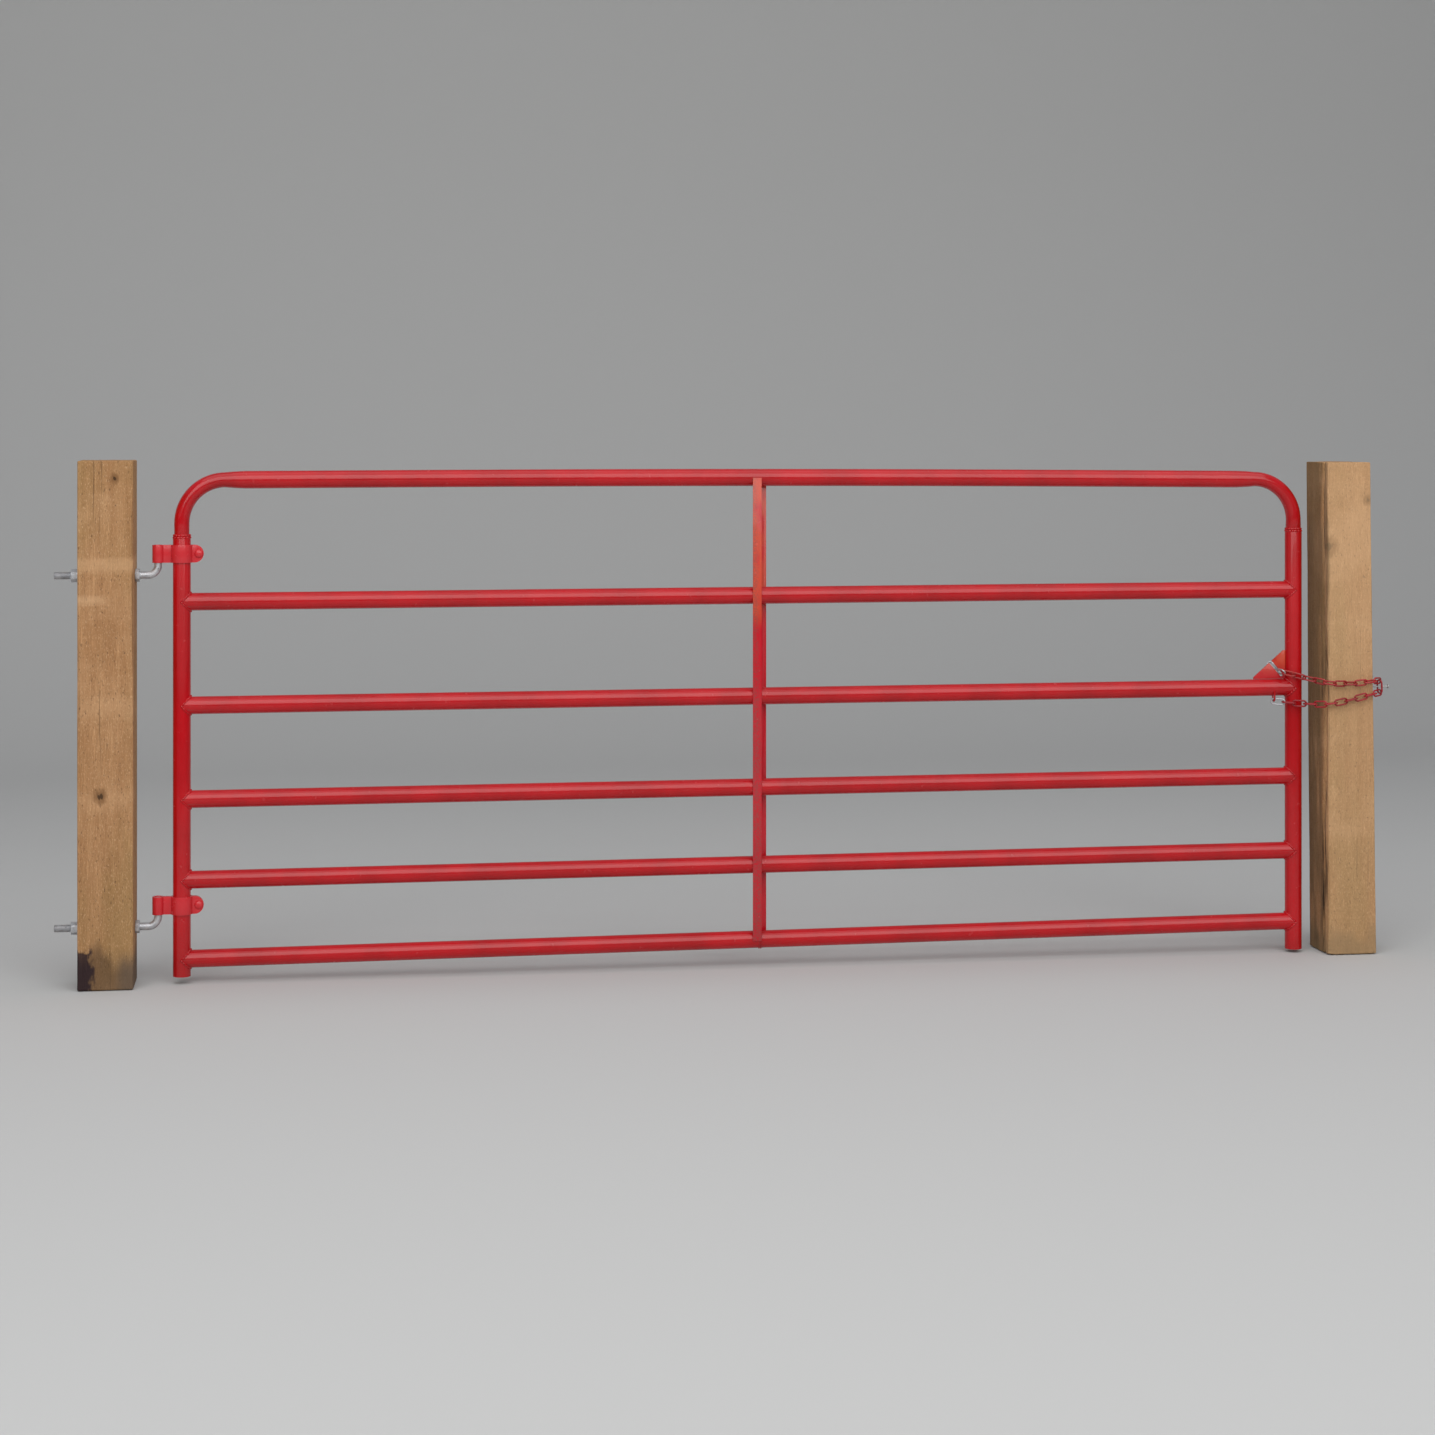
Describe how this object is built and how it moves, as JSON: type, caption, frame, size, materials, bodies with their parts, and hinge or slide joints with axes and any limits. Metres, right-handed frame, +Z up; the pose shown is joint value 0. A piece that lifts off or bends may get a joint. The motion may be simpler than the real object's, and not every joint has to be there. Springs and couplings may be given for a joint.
{
  "type": "livestock panel gate",
  "caption": "Tubular steel livestock gate with level rails and a centre brace, hung on hook bolts between square timber posts and held by a chain.",
  "frame": {"origin": "centre of the hinge post's foot, at ground level", "axes": "+X along the closed gate to the latch post, +Y to the gate's back, +Z up"},
  "size_m": [3.44, 0.1603, 1.307],
  "materials": {
    "gate_enamel": "semi-gloss red enamel",
    "chain_enamel": "thin red paint on chain, worn at the contacts",
    "galvanised": "dull zinc plating",
    "nail_steel": "plain steel wire nail",
    "hinge_post_timber": "rough sawn pressure-treated softwood",
    "latch_post_timber": "rough sawn pressure-treated softwood"
  },
  "bodies": {
    "posts": {"hinge_post": "hinge_post_timber", "latch_post": "latch_post_timber", "chain_nail": "nail_steel", "upper_hook_bolt": "galvanised", "upper_outer_washer": "galvanised", "upper_outer_nut": "galvanised", "upper_inner_nut": "galvanised", "lower_hook_bolt": "galvanised", "lower_outer_washer": "galvanised", "lower_outer_nut": "galvanised", "lower_inner_nut": "galvanised"},
    "gate": {"top_rail": "gate_enamel", "hinge_stile": "gate_enamel", "latch_stile": "gate_enamel", "rail_2": "gate_enamel", "rail_3": "gate_enamel", "rail_4": "gate_enamel", "rail_5": "gate_enamel", "rail_6": "gate_enamel", "centre_brace": "gate_enamel", "chain_gusset": "gate_enamel", "chain_eye": "gate_enamel", "upper_hinge_strap": "gate_enamel", "upper_strap_bolt": "gate_enamel", "upper_strap_nut": "gate_enamel", "lower_hinge_strap": "gate_enamel", "lower_strap_bolt": "gate_enamel", "lower_strap_nut": "gate_enamel", "chain_link_01": "galvanised", "chain_link_02": "chain_enamel", "chain_link_03": "chain_enamel", "chain_link_04": "chain_enamel", "chain_link_05": "chain_enamel", "chain_link_06": "chain_enamel", "chain_link_07": "chain_enamel", "chain_link_08": "chain_enamel", "chain_link_09": "chain_enamel", "chain_link_10": "chain_enamel", "chain_link_11": "chain_enamel", "chain_link_12": "chain_enamel", "chain_link_13": "chain_enamel", "chain_link_14": "chain_enamel", "chain_link_15": "chain_enamel", "chain_link_16": "chain_enamel", "chain_link_17": "chain_enamel", "chain_link_18": "chain_enamel", "chain_link_19": "chain_enamel", "chain_link_20": "chain_enamel", "chain_link_21": "chain_enamel", "chain_link_22": "chain_enamel", "chain_link_23": "galvanised"},
    "keeper_link": {"chain_link_24": "galvanised"}
  },
  "joints": [
    {"name": "gate_swing", "type": "hinge", "parent": "posts", "child": "gate", "pos_m": [0.124, 0, 0.6], "axis": [0, 0, 1], "range_deg": [-100, 100]},
    {"name": "keeper_link_swing", "type": "hinge", "parent": "gate", "child": "keeper_link", "pos_m": [3.0286, 0.0074, 0.7416], "axis": [0.4888, 0.2771, -0.8272], "range_deg": [-18, 14]}
  ]
}
